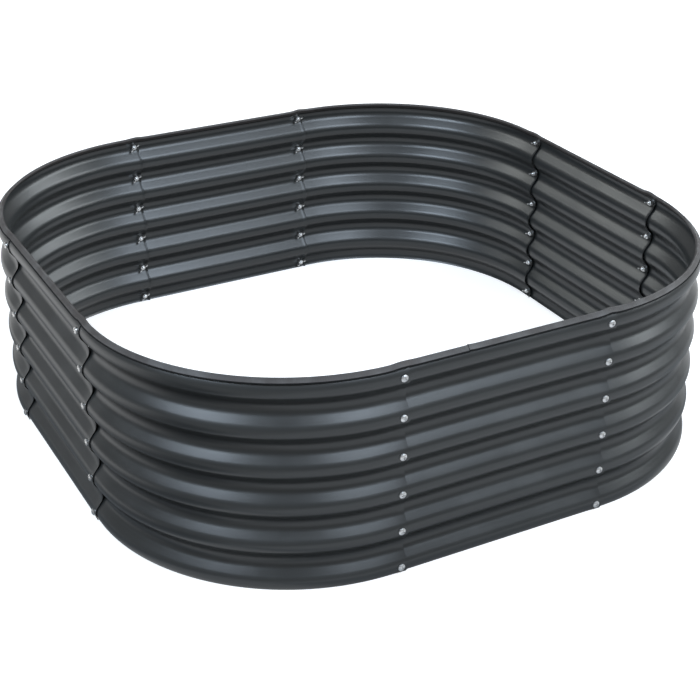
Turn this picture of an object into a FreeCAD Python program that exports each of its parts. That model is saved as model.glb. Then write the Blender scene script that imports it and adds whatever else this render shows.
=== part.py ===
"""Raised garden bed: a square ring of corrugated sheet panels with rounded corners, in millimetres.

The ring stands on the XY plane, centred on the Z axis.  Its front faces -Y and its right side +X.
Going round counter-clockwise, seen from above, each panel's leading end laps over the outside of the
next panel's starting end, and one column of bolts through the outward crests holds each lap.
"""
import FreeCAD, Part
import math
import os

import Sketcher

Vector = FreeCAD.Vector

# ---------------------------------------------------------------------------
# Driving dimensions: name, value in mm (or degrees, or a count), meaning
# ---------------------------------------------------------------------------
SIZES = [
    ("overall_width", 900.0, "bed width and depth, over the outermost crests"),
    ("corner_radius", 290.0, "radius of a corner panel at its outer crests"),
    ("seam_offset", 150.0, "bolt column, from the middle of its side"),
    ("lap_margin", 8.5, "bolt column to the free edge of a sheet"),
    ("lap_clearance", 0.05, "play between two nested sheets"),
    ("sheet_thickness", 0.8, "coated sheet steel"),
    ("row_count", 6, "outward crests, each with one row of bolts"),
    ("row_pitch", 54.0, "height from crest to crest"),
    ("wave_depth", 14.0, "crest to valley, through the wall"),
    ("flank_angle", 42.0, "slope of the wave's flanks, from the vertical"),
    ("bottom_row_height", 9.2, "lowest crest above the ground"),
    ("edge_rise", 15.0, "top edge of the sheet above the highest crest"),
    ("bolt_diameter", 5.0, "M5 screw shank"),
    ("bolt_length", 10.0, "shank, from under the head to the tip"),
    ("tip_chamfer", 0.6, "chamfer on the screw's tip"),
    ("hole_clearance", 0.5, "hole in the sheet, over the shank"),
    ("head_diameter", 9.5, "pan head"),
    ("head_height", 3.4, "pan head, at its middle"),
    ("head_rim_height", 1.5, "upright rim of the pan head"),
    ("recess_span", 5.0, "cross recess, tip to tip"),
    ("recess_width", 1.2, "width of the recess's arms"),
    ("recess_depth", 2.0, "depth of the cross recess"),
    ("hub_foot", 9.0, "M5 wing nut, hub against the sheet"),
    ("hub_top", 7.6, "hub at its free end"),
    ("hub_height", 4.5, "height of the hub"),
    ("wing_span", 18.0, "wing nut, tip to tip"),
    ("wing_rise", 6.0, "middle of a wing's rounded tip, above the hub's foot"),
    ("wing_round", 2.6, "radius of a wing's tip"),
    ("wing_thickness", 1.6, "plate of the wings"),
    ("wing_root", 3.3, "wing's inner end, from the nut's axis"),
    ("wing_root_margin", 0.7, "wing's inner end, from both ends of the hub"),
    ("wing_turn", 75.0, "turn of the wings on the first seam, in degrees"),
    ("wing_turn_step", 10.0, "more turn on each seam that follows, in degrees"),
    ("thread_clearance", 0.1, "nut bore, over the shank"),
    ("trim_wall", 1.1, "wall of the rubber edge trim"),
    ("trim_crown", 1.2, "rubber above the sheet's edge"),
    ("trim_lip", 8.0, "depth of the trim's slot"),
    ("trim_clearance", 0.1, "slot of the trim, over the lapped sheets"),
    ("trim_round", 1.2, "rounding of the trim's crown"),
    ("trim_joint_offset", -58.0, "where the trim's ends meet, along the front"),
    ("trim_joint_gap", 0.4, "gap between the trim's ends"),
]
SIZE = {name: value for name, value, _ in SIZES}

# Quarter turns of the four sides, with the corner panel that leads up to each side.
SIDES = ["front", "right", "back", "left"]
CORNERS = ["front_left", "front_right", "back_right", "back_left"]
# Seams of a side: the one where the side panel starts and the one where it leads.
SEAM_NAMES = [("front_left", "front_right"), ("right_front", "right_back"),
              ("back_right", "back_left"), ("left_back", "left_front")]

doc = FreeCAD.newDocument("raised_garden_bed")


def write_sizes():
    """Put the driving dimensions in a spreadsheet, one alias each."""
    sheet = doc.addObject("Spreadsheet::Sheet", "sizes")
    for row, (name, value, meaning) in enumerate(SIZES, start=1):
        sheet.set("A%d" % row, name)
        sheet.set("B%d" % row, str(value))
        sheet.setAlias("B%d" % row, name)
        sheet.set("C%d" % row, meaning)
    doc.recompute()


def fill(formula):
    """Write a formula's size names as references to the spreadsheet's cells."""
    return formula.format(**{name: "sizes." + name for name in SIZE}, **DERIVED)


# Formulas that several pieces share, in the spreadsheet's own language.
DERIVED = {}
DERIVED["slope"] = fill("({flank_angle} * 1 deg)")
# Bend radius at the middle of the sheet, from the pitch, the depth and the slope of the wave.
DERIVED["bend"] = fill("(({row_pitch} / 4 * sin({slope}) - {wave_depth} / 2 * cos({slope}))"
                       " / (1 - cos({slope})))")
# A nested sheet of the same wave first touches on the flanks, so this is its least step.
DERIVED["lap_step"] = fill("({sheet_thickness} / cos({slope}) + {lap_clearance})")
DERIVED["half_width"] = fill("({overall_width} / 2)")
DERIVED["side_face"] = fill("({half_width} - {lap_step})")
DERIVED["sheet_height"] = fill("({bottom_row_height} + ({row_count} - 1) * {row_pitch} + {edge_rise})")
DERIVED["hole_radius"] = fill("(({bolt_diameter} + {hole_clearance}) / 2)")
DERIVED["pattern_length"] = fill("(({row_count} - 1) * {row_pitch})")
# A corner panel's arc is centred this far from the bed's middle: along the side where the panel
# starts, and along the side where it leads.
DERIVED["start_centre"] = fill("({half_width} - {corner_radius})")
DERIVED["lead_centre"] = fill("({half_width} - 2 * {lap_step} - {corner_radius})")
DERIVED["trim_centre"] = fill("({side_face} - {corner_radius})")
# From the crest in to the top edge, both at the middle of the sheet.
DERIVED["edge_run_in"] = fill("({bend} * (1 - cos({slope}))"
                              " + ({edge_rise} - {bend} * sin({slope})) * tan({slope}))")
# A nut's flat face bridges the groove behind a crest, and stands off by the groove's sagitta.
DERIVED["groove_radius"] = fill("({bend} - {sheet_thickness} / 2)")
DERIVED["nut_standoff"] = fill("({groove_radius} - sqrt({groove_radius}^2 - ({hub_foot} / 2)^2))")

# The same values as numbers, only to draw each sketch near its solved place.
SLOPE = math.radians(SIZE["flank_angle"])
HALF_PITCH = SIZE["row_pitch"] / 2
BEND = ((HALF_PITCH * math.sin(SLOPE) - SIZE["wave_depth"] * math.cos(SLOPE))
        / (2 * (1 - math.cos(SLOPE))))
LAP_STEP = SIZE["sheet_thickness"] / math.cos(SLOPE) + SIZE["lap_clearance"]
SHEET_HEIGHT = (SIZE["bottom_row_height"] + (SIZE["row_count"] - 1) * SIZE["row_pitch"]
                + SIZE["edge_rise"])
SIDE_FACE = SIZE["overall_width"] / 2 - LAP_STEP


def origin_feature(body, role):
    """One of a body's own origin planes or axes."""
    return next(item for item in body.Origin.OriginFeatures if item.Role == role)


def bind(target, **formulas):
    """Tie properties of an object to formulas; a double underscore stands for a dot."""
    for name, formula in formulas.items():
        target.setExpression(name.replace("__", "."), fill(formula))


def settle(feature):
    """Compute one feature by itself, as nothing before it in the document has changed."""
    feature.recompute()
    feature.purgeTouched()
    return feature


def new_body(label):
    """An empty body whose label is its node's name."""
    body = doc.addObject("PartDesign::Body", label)
    body.Label = label
    return body


class Drawing:
    """A sketch on one of a body's origin planes, with constraints tied to the sizes."""

    def __init__(self, body, name, plane):
        self.sketch = body.newObject("Sketcher::SketchObject", name)
        self.sketch.AttachmentSupport = (origin_feature(body, plane), "")
        self.sketch.MapMode = "FlatFace"
        self.constraints = []

    def line(self, start, end):
        """Add a straight line between two (x, y) points."""
        return self.sketch.addGeometry(Part.LineSegment(Vector(*start), Vector(*end)))

    def arc(self, centre, radius, first, last):
        """Add an arc from the first to the last angle, in radians."""
        circle = Part.Circle(Vector(*centre), Vector(0, 0, 1), radius)
        return self.sketch.addGeometry(Part.ArcOfCircle(circle, first, last))

    def circle(self, centre, radius):
        """Add a full circle."""
        return self.sketch.addGeometry(Part.Circle(Vector(*centre), Vector(0, 0, 1), radius))

    def rule(self, kind, *references):
        """Add a geometric constraint."""
        self.constraints.append((Sketcher.Constraint(kind, *references), None))

    def size(self, kind, *references, formula):
        """Add a dimension whose value follows a formula; the last reference is its first value."""
        self.constraints.append((Sketcher.Constraint(kind, *references), formula))

    def place(self, geometry, position, point, x_formula, y_formula):
        """Fix one point of a shape from the sketch's origin."""
        self.size("DistanceX", -1, 1, geometry, position, point[0], formula=x_formula)
        self.size("DistanceY", -1, 1, geometry, position, point[1], formula=y_formula)

    def rectangle(self, middle_x, middle_y, width, height):
        """Add an upright rectangle; each argument is a (number, formula) pair."""
        right, top = middle_x[0] + width[0] / 2, middle_y[0] + height[0] / 2
        left, bottom = right - width[0], top - height[0]
        points = [(left, bottom), (right, bottom), (right, top), (left, top)]
        lines = [self.line(one, two) for one, two in zip(points, points[1:] + points[:1])]
        for number, line in enumerate(lines):
            self.rule("Coincident", line, 2, lines[(number + 1) % 4], 1)
            self.rule("Horizontal" if number % 2 == 0 else "Vertical", line)
        self.size("DistanceX", lines[0], 1, lines[0], 2, width[0], formula=width[1])
        self.size("DistanceY", lines[1], 1, lines[1], 2, height[0], formula=height[1])
        self.place(lines[0], 1, points[0], "%s - %s / 2" % (middle_x[1], width[1]),
                   "%s - %s / 2" % (middle_y[1], height[1]))

    def close(self):
        """Apply the constraints and tie each dimension to its formula."""
        indices = self.sketch.addConstraint([constraint for constraint, _ in self.constraints])
        for index, (constraint, formula) in zip(indices, self.constraints):
            if formula is not None:
                name = "size_%d" % index
                self.sketch.renameConstraint(index, name)
                self.sketch.setExpression("Constraints." + name, fill(formula))
        return settle(self.sketch)


# ---------------------------------------------------------------------------
# The corrugated section, shared by all the panels
# ---------------------------------------------------------------------------
LOWER, UPPER = 1, 2


def wave_face(face, outer):
    """Arcs and flanks of one side of the sheet from its bottom to its top edge.

    The section has the ground on the sketch's x axis, and its outside towards -x.
    """
    pieces = []
    for index in range(-1, 2 * int(SIZE["row_count"])):
        bends = []
        for number in (index, index + 1):
            crest = number % 2 == 0
            radius = BEND + SIZE["sheet_thickness"] / 2 * (1 if crest == outer else -1)
            depth = BEND if crest else SIZE["wave_depth"] - BEND
            centre = (-face + SIZE["sheet_thickness"] / 2 + depth,
                      SIZE["bottom_row_height"] + number * HALF_PITCH)
            bends.append((crest, centre, radius))
        (crest, centre, radius), (_, next_centre, next_radius) = bends
        rise = radius * math.sin(SLOPE)
        low, high = max(centre[1] - rise, 0), min(centre[1] + rise, SHEET_HEIGHT)
        if low < high:
            pieces.append(("bend", index, centre, radius, low, high))
        side = -1 if crest else 1
        foot = (centre[0] + side * radius * math.cos(SLOPE), centre[1] + rise)
        head = (next_centre[0] - side * next_radius * math.cos(SLOPE),
                next_centre[1] - next_radius * math.sin(SLOPE))
        low, high = max(foot[1], 0), min(head[1], SHEET_HEIGHT)
        if low < high:
            lean = (head[0] - foot[0]) / (head[1] - foot[1])
            pieces.append(("flank", index, (foot[0] + lean * (low - foot[1]), low),
                           (foot[0] + lean * (high - foot[1]), high)))
    return pieces


def draw_wave_face(drawing, face, face_formula, outer, centres):
    """Draw and constrain one side of the sheet; give its first and last (shape, point)."""
    pieces = wave_face(face, outer)
    drawn = []
    for piece in pieces:
        if piece[0] == "flank":
            drawn.append((drawing.line(piece[2], piece[3]), LOWER, UPPER))
            continue
        _, index, centre, radius, low, high = piece
        first, last = (math.asin((height - centre[1]) / radius) for height in (low, high))
        if index % 2 == 0:
            drawn.append((drawing.arc(centre, radius, math.pi - last, math.pi - first), UPPER, LOWER))
        else:
            drawn.append((drawing.arc(centre, radius, first, last), LOWER, UPPER))
        sign = "+" if (index % 2 == 0) == outer else "-"
        drawing.size("Radius", drawn[-1][0], radius, formula="{bend} %s {sheet_thickness} / 2" % sign)
        if index in centres:
            drawing.rule("Coincident", drawn[-1][0], 3, centres[index], 3)
        else:
            centres[index] = drawn[-1][0]
            depth = "{bend}" if index % 2 == 0 else "{wave_depth} - {bend}"
            drawing.place(drawn[-1][0], 3, centre,
                          "{sheet_thickness} / 2 + %s - %s" % (depth, face_formula),
                          "{bottom_row_height} + %d * {row_pitch} / 2" % index)
    for (shape, _, top), (next_shape, bottom, _) in zip(drawn, drawn[1:]):
        drawing.rule("Tangent", shape, top, next_shape, bottom)
    # A flank at the very end leans as the next flank of its own slope.
    if pieces[0][0] == "flank":
        drawing.rule("Parallel", drawn[0][0], drawn[4][0])
    if pieces[-1][0] == "flank":
        drawing.rule("Parallel", drawn[-1][0], drawn[-5][0])
    return (drawn[0][0], drawn[0][1]), (drawn[-1][0], drawn[-1][2])


def wave_sketch(body, plane, face, face_formula, set_back="0"):
    """Closed section of the corrugated sheet, its outer crests at a distance from the z axis."""
    drawing = Drawing(body, "wave", plane)
    bind(drawing.sketch, AttachmentOffset__Base__z=set_back)
    centres = {}
    outer_low, outer_high = draw_wave_face(drawing, face, face_formula, True, centres)
    inner_low, inner_high = draw_wave_face(drawing, face, face_formula, False, centres)
    point = drawing.sketch.getPoint
    bottom = drawing.line(point(*outer_low), point(*inner_low))
    top = drawing.line(point(*outer_high), point(*inner_high))
    for edge, outer_end, inner_end in ((bottom, outer_low, inner_low), (top, outer_high, inner_high)):
        drawing.rule("Coincident", edge, 1, *outer_end)
        drawing.rule("Coincident", edge, 2, *inner_end)
        drawing.rule("Horizontal", edge)
    drawing.rule("PointOnObject", bottom, 1, -1)
    drawing.size("DistanceY", -1, 1, top, 1, SHEET_HEIGHT, formula="{sheet_height}")
    return drawing.close()


# ---------------------------------------------------------------------------
# Features used by more than one piece
# ---------------------------------------------------------------------------
def pad(body, name, profile, length, reverse=False, midplane=False):
    """Extend a profile along its normal by a formula's length."""
    feature = body.newObject("PartDesign::Pad", name)
    feature.Profile = profile
    feature.Reversed = reverse
    feature.Midplane = midplane
    bind(feature, Length=length)
    return settle(feature)


def revolve(body, kind, name, profile, axis, angle):
    """Revolve a profile about an axis: a Revolution adds material and a Groove takes it away."""
    feature = body.newObject("PartDesign::" + kind, name)
    feature.Profile = profile
    feature.ReferenceAxis = axis
    feature.Angle = angle
    return settle(feature)


def cut(body, name, profile, reverse=False, depth=None):
    """Pocket a profile through everything on one side, or to a depth, and check that it cuts."""
    before = body.Tip.Shape.Volume
    feature = body.newObject("PartDesign::Pocket", name)
    feature.Profile = profile
    feature.Reversed = reverse
    if depth is None:
        feature.Type = "ThroughAll"
    else:
        bind(feature, Length=depth)
    settle(feature)
    if not feature.Shape.Volume < before:
        raise RuntimeError("%s of %s cuts nothing" % (name, body.Label))
    return feature


def repeat_up(body, name, features):
    """Repeat features, or the whole body when there are none, at every crest."""
    pattern = body.newObject("PartDesign::LinearPattern", name)
    if features:
        pattern.Originals = features
    else:
        pattern.TransformMode = "Whole shape"
    pattern.Direction = (origin_feature(body, "Z_Axis"), [""])
    bind(pattern, Length="{pattern_length}", Occurrences="{row_count}")
    body.Tip = pattern
    return settle(pattern)


def bolt_holes(body, name, plane, columns, reverse):
    """Drill every crest at each column, given as (number, formula) along the plane's x axis."""
    drawing = Drawing(body, name + "_sketch", plane)
    radius = (SIZE["bolt_diameter"] + SIZE["hole_clearance"]) / 2
    for column, formula in columns:
        centre = (column, SIZE["bottom_row_height"])
        hole = drawing.circle(centre, radius)
        drawing.size("Radius", hole, radius, formula="{hole_radius}")
        drawing.place(hole, 3, centre, formula, "{bottom_row_height}")
    pocket = cut(body, name, drawing.close(), reverse)
    repeat_up(body, name + "_rows", [pocket])


def turned(quarter, across, along):
    """Formulas for the point (across, along) of the front, carried round to another side."""
    return [(across, along), ("-(%s)" % along, across),
            ("-(%s)" % across, "-(%s)" % along), (along, "-(%s)" % across)][quarter]


def stand(body, quarter, across="0", along="0", height="0"):
    """Place a body that is drawn for the front of the bed at one of the four sides."""
    body.Placement = FreeCAD.Placement(Vector(), FreeCAD.Rotation(Vector(0, 0, 1), 90 * quarter))
    x_formula, y_formula = turned(quarter, across, along)
    bind(body, Placement__Base__x=x_formula, Placement__Base__y=y_formula,
         Placement__Base__z=height)


# ---------------------------------------------------------------------------
# Panels
# ---------------------------------------------------------------------------
def side_panel(name, quarter):
    """A straight panel, bolted near both ends; its origin is the middle of the bed."""
    body = new_body(name)
    wave = wave_sketch(body, "YZ_Plane", SIDE_FACE, "{side_face}")
    pad(body, "sheet", wave, "2 * ({seam_offset} + {lap_margin})", midplane=True)
    seam = SIZE["seam_offset"]
    bolt_holes(body, "holes", "XZ_Plane", [(-seam, "-{seam_offset}"), (seam, "{seam_offset}")],
               reverse=True)
    stand(body, quarter)
    return body


def corner_panel(name, quarter):
    """A quarter-round panel with a straight tail at each end; its origin is the arc's centre.

    It starts facing -X, where its tail is lapped by the panel before it, and leads facing -Y,
    where its tail laps over the outside of the next panel.
    """
    body = new_body(name)
    radius = SIZE["corner_radius"]
    start_bolts = "({start_centre} - {seam_offset})"
    lead_bolts = "({lead_centre} - {seam_offset})"
    start_column = SIZE["overall_width"] / 2 - radius - SIZE["seam_offset"]
    lead_column = start_column - 2 * LAP_STEP
    start_end, lead_end = start_column + SIZE["lap_margin"], lead_column + SIZE["lap_margin"]
    wave = wave_sketch(body, "XZ_Plane", radius, "{corner_radius}",
                       "-(%s + {lap_margin})" % start_bolts)

    # The section runs along this line, which follows the outer crests.
    path = Drawing(body, "crest_line", "XY_Plane")
    start_tail = path.line((-radius, start_end), (-radius, 0))
    bend = path.arc((0, 0), radius, math.pi, 1.5 * math.pi)
    lead_tail = path.line((0, -radius), (lead_end, -radius))
    path.rule("Tangent", start_tail, 2, bend, 1)
    path.rule("Tangent", bend, 2, lead_tail, 1)
    path.rule("Coincident", bend, 3, -1, 1)
    path.rule("Vertical", start_tail)
    path.rule("Horizontal", lead_tail)
    path.size("Radius", bend, radius, formula="{corner_radius}")
    path.size("DistanceY", -1, 1, start_tail, 1, start_end, formula=start_bolts + " + {lap_margin}")
    path.size("DistanceX", -1, 1, lead_tail, 2, lead_end, formula=lead_bolts + " + {lap_margin}")
    sheet = body.newObject("PartDesign::AdditivePipe", "sheet")
    sheet.Profile = wave
    sheet.Spine = path.close()
    settle(sheet)

    bolt_holes(body, "start_holes", "YZ_Plane", [(start_column, start_bolts)], reverse=False)
    bolt_holes(body, "lead_holes", "XZ_Plane", [(lead_column, lead_bolts)], reverse=True)
    stand(body, quarter, "-{lead_centre}", "-{start_centre}")
    return body


# ---------------------------------------------------------------------------
# Bolts and nuts
# ---------------------------------------------------------------------------
def seam_bolts(name):
    """Six pan head screws of one seam, their axes along +Y, the first at the origin."""
    body = new_body(name)
    shank, head = SIZE["bolt_diameter"] / 2, SIZE["head_diameter"] / 2
    rim, height = SIZE["head_rim_height"], SIZE["head_height"]
    length, chamfer = SIZE["bolt_length"], SIZE["tip_chamfer"]
    drawing = Drawing(body, "screw_section", "YZ_Plane")
    points = [(-height, 0), (length, 0), (length, shank - chamfer), (length - chamfer, shank),
              (0, shank), (0, head), (-rim, head)]
    lines = [drawing.line(one, two) for one, two in zip(points, points[1:])]
    # The dome is a circle about the axis, through the crown's middle and the rim's top.
    dome = height - rim
    sphere = (head ** 2 + dome ** 2) / (2 * dome)
    centre = (sphere - height, 0)
    crown = drawing.arc(centre, sphere, math.pi - math.asin(head / sphere), math.pi)
    for one, two in zip(lines, lines[1:]):
        drawing.rule("Coincident", one, 2, two, 1)
    drawing.rule("Coincident", lines[-1], 2, crown, 1)
    drawing.rule("Coincident", crown, 2, lines[0], 1)
    drawing.rule("PointOnObject", crown, 3, -1)
    for line in (lines[0], lines[3], lines[5]):
        drawing.rule("Horizontal", line)
    for line in (lines[1], lines[4]):
        drawing.rule("Vertical", line)
    drawing.rule("PointOnObject", lines[0], 1, -1)
    drawing.rule("PointOnObject", lines[4], 1, -2)
    drawing.size("DistanceX", lines[0], 1, -1, 1, height, formula="{head_height}")
    drawing.size("DistanceX", -1, 1, lines[0], 2, length, formula="{bolt_length}")
    drawing.size("DistanceX", lines[2], 2, lines[2], 1, chamfer, formula="{tip_chamfer}")
    drawing.size("DistanceY", lines[2], 1, lines[2], 2, chamfer, formula="{tip_chamfer}")
    drawing.size("DistanceY", -1, 1, lines[3], 2, shank, formula="{bolt_diameter} / 2")
    drawing.size("DistanceY", -1, 1, lines[5], 1, head, formula="{head_diameter} / 2")
    drawing.size("DistanceX", lines[5], 2, -1, 1, rim, formula="{head_rim_height}")
    revolve(body, "Revolution", "screw", drawing.close(), (origin_feature(body, "Y_Axis"), [""]), 360)
    slot = Drawing(body, "recess_sketch", "XZ_Plane")
    bind(slot.sketch, AttachmentOffset__Base__z="{head_height}")
    slot.rectangle((0, "0"), (0, "0"), (SIZE["recess_span"], "{recess_span}"),
                   (SIZE["recess_width"], "{recess_width}"))
    recess = cut(body, "recess", slot.close(), reverse=False, depth="{recess_depth}")
    cross = body.newObject("PartDesign::PolarPattern", "cross_recess")
    cross.Originals = [recess]
    cross.Axis = (origin_feature(body, "Y_Axis"), [""])
    cross.Angle = 90
    cross.Occurrences = 2
    body.Tip = cross
    settle(cross)
    repeat_up(body, "rows", [])
    return body


def wing_outline(drawing, side):
    """One wing, as (along the axis, from the axis): two edges that touch a round tip."""
    root, margin, height = SIZE["wing_root"], SIZE["wing_root_margin"], SIZE["hub_height"]
    radius = SIZE["wing_round"]
    middle = (SIZE["wing_rise"], SIZE["wing_span"] / 2 - radius)
    angles = []
    for along, turn in ((margin, -1), (height - margin, 1)):
        back = (along - middle[0], root - middle[1])
        angles.append(math.atan2(back[1], back[0]) + turn * math.acos(radius / math.hypot(*back)))
    near, far = angles[0] + 2 * math.pi, angles[1]
    first, last = (far, near) if side > 0 else (-near, -far)
    tip = drawing.arc((middle[0], side * middle[1]), radius, first, last)
    touch = [(middle[0] + radius * math.cos(angle), side * (middle[1] + radius * math.sin(angle)))
             for angle in (near, far)]
    lower = drawing.line((margin, side * root), touch[0])
    upper = drawing.line(touch[1], (height - margin, side * root))
    inner = drawing.line((height - margin, side * root), (margin, side * root))
    drawing.rule("Coincident", upper, 2, inner, 1)
    drawing.rule("Coincident", inner, 2, lower, 1)
    drawing.rule("Tangent", lower, 2, tip, 2 if side > 0 else 1)
    drawing.rule("Tangent", upper, 1, tip, 1 if side > 0 else 2)
    drawing.size("Radius", tip, radius, formula="{wing_round}")
    sign = "" if side > 0 else "-"
    drawing.place(tip, 3, (middle[0], side * middle[1]), "{wing_rise}",
                  sign + "({wing_span} / 2 - {wing_round})")
    drawing.place(inner, 2, (margin, side * root), "{wing_root_margin}", sign + "{wing_root}")
    drawing.place(inner, 1, (height - margin, side * root), "{hub_height} - {wing_root_margin}",
                  sign + "{wing_root}")


def seam_nuts(name, number):
    """Six wing nuts of one seam, each with its foot at y = 0, the first about the origin."""
    body = new_body(name)
    foot, top, height = SIZE["hub_foot"] / 2, SIZE["hub_top"] / 2, SIZE["hub_height"]
    bore = (SIZE["bolt_diameter"] + SIZE["thread_clearance"]) / 2
    bore_formula = "({bolt_diameter} + {thread_clearance}) / 2"
    section = Drawing(body, "hub_section", "YZ_Plane")
    corners = [((0, bore), "0", bore_formula), ((height, bore), "{hub_height}", bore_formula),
               ((height, top), "{hub_height}", "{hub_top} / 2"), ((0, foot), "0", "{hub_foot} / 2")]
    edges = [section.line(one[0], two[0]) for one, two in zip(corners, corners[1:] + corners[:1])]
    for index, (edge, (point, along, out)) in enumerate(zip(edges, corners)):
        section.rule("Coincident", edge, 2, edges[(index + 1) % 4], 1)
        section.place(edge, 1, point, along, out)
    revolve(body, "Revolution", "hub", section.close(), (origin_feature(body, "Y_Axis"), [""]), 360)
    wings = Drawing(body, "wing_sketch", "YZ_Plane")
    wings.sketch.AttachmentOffset = FreeCAD.Placement(Vector(), FreeCAD.Rotation(Vector(1, 0, 0), 1))
    bind(wings.sketch,
         AttachmentOffset__Rotation__Angle="({wing_turn} + %d * {wing_turn_step}) * 1 deg" % number)
    wing_outline(wings, 1)
    wing_outline(wings, -1)
    pad(body, "wings", wings.close(), "{wing_thickness}", midplane=True)
    repeat_up(body, "rows", [])
    return body


def place_seam(bolts, nuts, quarter, leading):
    """Set the bolts on a seam's outer sheet and the nuts behind its inner sheet."""
    column = "{seam_offset}" if leading else "-{seam_offset}"
    face = "{side_face}" if leading else "{half_width}"
    stand(bolts, quarter, column, "-" + face, "{bottom_row_height}")
    stand(nuts, quarter, column, "{lap_step} + {sheet_thickness} + {nut_standoff} - " + face,
          "{bottom_row_height}")


# ---------------------------------------------------------------------------
# Edge trim
# ---------------------------------------------------------------------------
def trim_section(body):
    """U section of the trim, pushed down over the sheet's sloping top edge.

    The sketch's y axis is the upright axis of the front right corner's bend.
    """
    section = Drawing(body, "trim_section", "YZ_Plane")
    bind(section.sketch, AttachmentOffset__Base__x="-{trim_centre}",
         AttachmentOffset__Base__z="{trim_centre}")
    gauge = SIZE["sheet_thickness"]
    slot = 2 * LAP_STEP * math.cos(SLOPE) + gauge + SIZE["trim_clearance"]
    seat = gauge / 2 * math.tan(SLOPE)
    outside, inside = slot / 2 + SIZE["trim_wall"], slot / 2
    crown, lip, corner = seat + SIZE["trim_crown"], seat - SIZE["trim_lip"], SIZE["trim_round"]
    # Middle of the sheet at its top edge.
    run_in = BEND * (1 - math.cos(SLOPE)) + (SIZE["edge_rise"] - BEND * math.sin(SLOPE)) * math.tan(SLOPE)
    edge = (gauge / 2 + run_in - SIZE["corner_radius"], SHEET_HEIGHT)

    def at(up, out):
        """Point at a distance up the flank from the sheet's edge, and out from its middle."""
        return (edge[0] + up * math.sin(SLOPE) - out * math.cos(SLOPE),
                edge[1] + up * math.cos(SLOPE) + out * math.sin(SLOPE))

    points = [at(lip, -outside), at(lip, -inside), at(seat, -inside), at(seat, inside),
              at(lip, inside), at(lip, outside), at(crown - corner, outside)]
    inner_end, slot_inner, slot_floor, slot_outer, outer_end, outer_wall = (
        section.line(one, two) for one, two in zip(points, points[1:]))
    tilt = SLOPE
    outer_bend = section.arc(at(crown - corner, outside - corner), corner, math.pi / 2 - tilt,
                             math.pi - tilt)
    top = section.line(at(crown, outside - corner), at(crown, corner - outside))
    inner_bend = section.arc(at(crown - corner, corner - outside), corner, -tilt, math.pi / 2 - tilt)
    inner_wall = section.line(at(crown - corner, -outside), points[0])
    chain = [inner_end, slot_inner, slot_floor, slot_outer, outer_end, outer_wall]
    for one, two in zip([inner_wall] + chain, chain):
        section.rule("Coincident", one, 2, two, 1)
    section.rule("Tangent", outer_wall, 2, outer_bend, 2)
    section.rule("Tangent", outer_bend, 1, top, 1)
    section.rule("Tangent", top, 2, inner_bend, 2)
    section.rule("Tangent", inner_bend, 1, inner_wall, 1)
    for line in (slot_outer, outer_wall, inner_wall):
        section.rule("Parallel", slot_inner, line)
    for line in (inner_end, outer_end, top):
        section.rule("Parallel", slot_floor, line)
    section.rule("Perpendicular", slot_floor, slot_inner)
    section.rule("Equal", slot_inner, slot_outer)
    section.rule("Equal", inner_end, outer_end)
    section.rule("Equal", outer_bend, inner_bend)
    section.size("Angle", slot_inner, math.pi / 2 - SLOPE, formula="90 deg - {slope}")
    section.size("Distance", slot_floor, slot,
                 formula="2 * {lap_step} * cos({slope}) + {sheet_thickness} + {trim_clearance}")
    section.size("Distance", inner_end, SIZE["trim_wall"], formula="{trim_wall}")
    section.size("Distance", slot_inner, SIZE["trim_lip"], formula="{trim_lip}")
    section.size("Distance", top, 1, slot_floor, SIZE["trim_crown"], formula="{trim_crown}")
    section.size("Radius", outer_bend, corner, formula="{trim_round}")
    floor = section.sketch.addGeometry(Part.Point(Vector(*at(seat, 0))))
    section.rule("Symmetric", slot_floor, 1, slot_floor, 2, floor, 1)
    section.place(floor, 1, at(seat, 0),
                  "{sheet_thickness} / 2 * (1 + sin({slope}) * tan({slope})) + {edge_run_in}"
                  " - {corner_radius}",
                  "{sheet_height} + {sheet_thickness} / 2 * sin({slope})")
    return section.close()


def edge_trim(name):
    """Rubber U profile all round the top edge, its two ends meeting on the front."""
    body = new_body(name)
    section = trim_section(body)
    straight = pad(body, "straight", section, "2 * {trim_centre}", reverse=True)
    bend = revolve(body, "Revolution", "bend", section, (section, ["V_Axis"]), 90)
    ring = body.newObject("PartDesign::PolarPattern", "ring")
    ring.Originals = [straight, bend]
    ring.Axis = (origin_feature(body, "Z_Axis"), [""])
    ring.Angle = 360
    ring.Occurrences = 4
    body.Tip = ring
    settle(ring)
    joint = Drawing(body, "joint_sketch", "XZ_Plane")
    joint.rectangle((SIZE["trim_joint_offset"], "{trim_joint_offset}"), (SHEET_HEIGHT, "{sheet_height}"),
                    (SIZE["trim_joint_gap"], "{trim_joint_gap}"),
                    (4 * SIZE["trim_lip"], "(4 * {trim_lip})"))
    cut(body, "joint", joint.close(), reverse=True)
    return body


# ---------------------------------------------------------------------------
# The whole bed
# ---------------------------------------------------------------------------
def check_and_write(bodies, solid_counts):
    """Stop on any failed object or shape, and write each body to its own STEP file."""
    doc.recompute()
    for item in doc.Objects:
        if "Invalid" in item.State or "Error" in item.State:
            raise RuntimeError("%s failed: %s" % (item.Label, item.State))
    for body, solids in zip(bodies, solid_counts):
        shape = body.Shape
        if shape.isNull() or not shape.isValid() or len(shape.Solids) != solids:
            raise RuntimeError("%s has a bad shape" % body.Label)
        box = shape.BoundBox
        print("%-26s %2d solid(s)  %9.1f mm3  x %7.2f %7.2f  y %7.2f %7.2f  z %6.2f %6.2f"
              % (body.Label, len(shape.Solids), shape.Volume, box.XMin, box.XMax, box.YMin, box.YMax,
                 box.ZMin, box.ZMax))
    os.makedirs("parts", exist_ok=True)
    for body in bodies:
        body.Shape.exportStep("parts/%s.step" % body.Label)


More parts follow.
